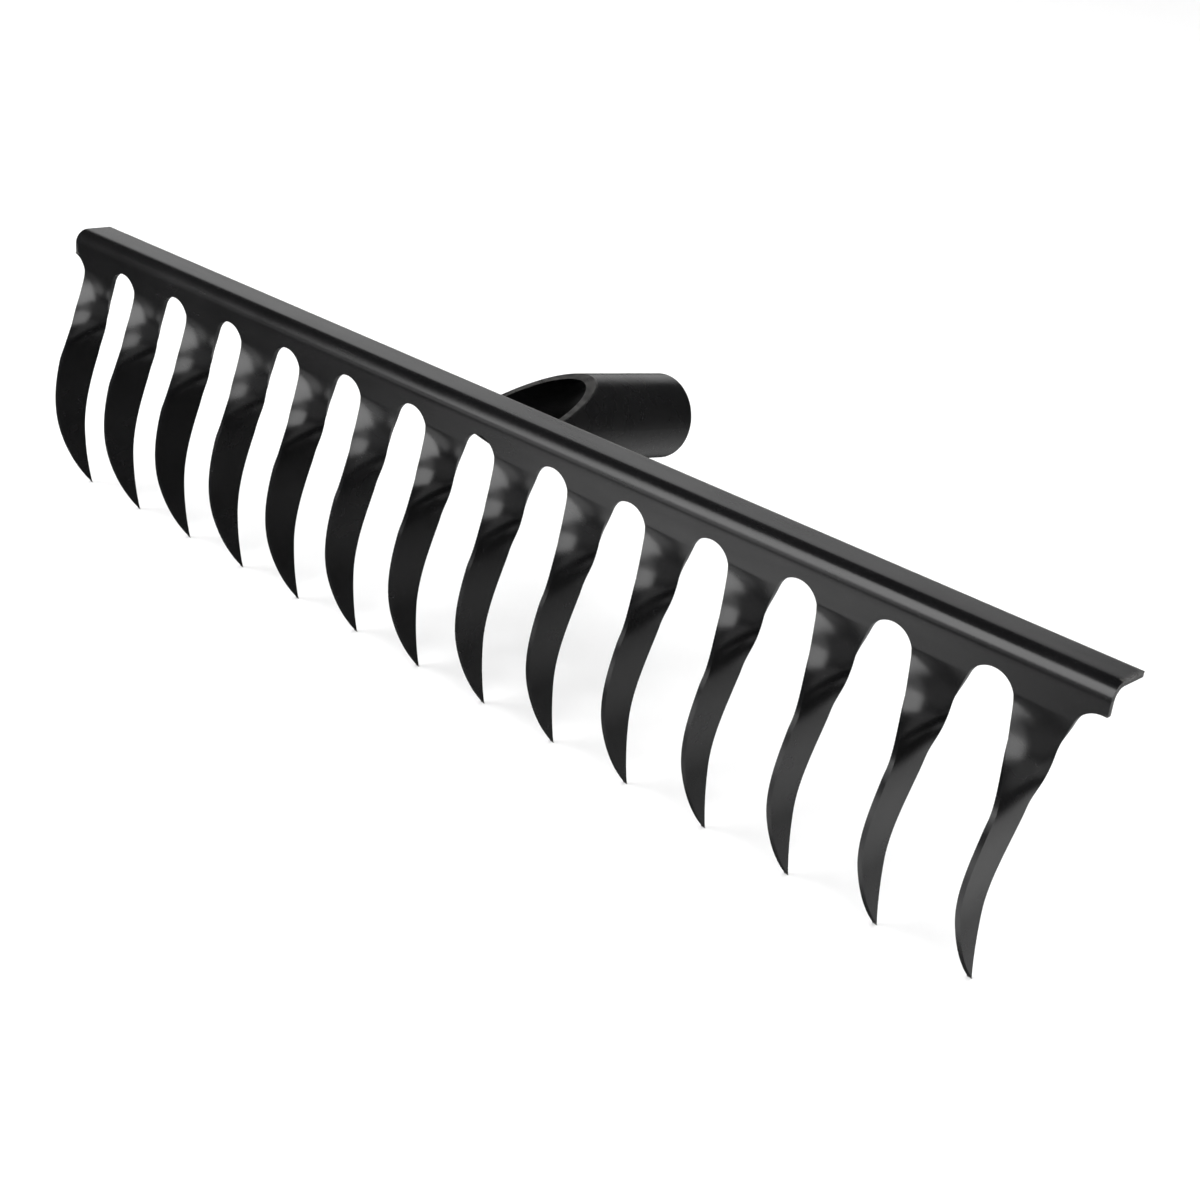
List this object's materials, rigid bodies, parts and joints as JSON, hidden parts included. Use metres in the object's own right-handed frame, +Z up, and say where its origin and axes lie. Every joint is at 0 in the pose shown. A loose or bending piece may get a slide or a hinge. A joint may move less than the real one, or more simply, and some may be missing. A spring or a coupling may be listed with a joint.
{
  "type": "garden rake head",
  "caption": "Black garden rake head: one pressed sheet of steel with twisted, curved tines under a flanged bar, and a welded tube socket for a wooden handle.",
  "frame": {"origin": "on the socket's axis, where the bore's straight wall begins just inside its mouth", "axes": "+X along the head, +Y from the head back towards the user, +Z up along the head's web, with the tines pointing down; the socket's axis falls 10 degrees below +Y"},
  "size_m": [0.4, 0.0945, 0.0907],
  "materials": {
    "head_paint": "semi-gloss black paint over pressed sheet steel",
    "socket_paint": "satin black paint over steel tube",
    "weld_paint": "satin black paint over weld beads"
  },
  "bodies": {
    "root": {"rake_head": "head_paint", "handle_socket": "socket_paint", "socket_welds": "weld_paint"}
  },
  "joints": []
}
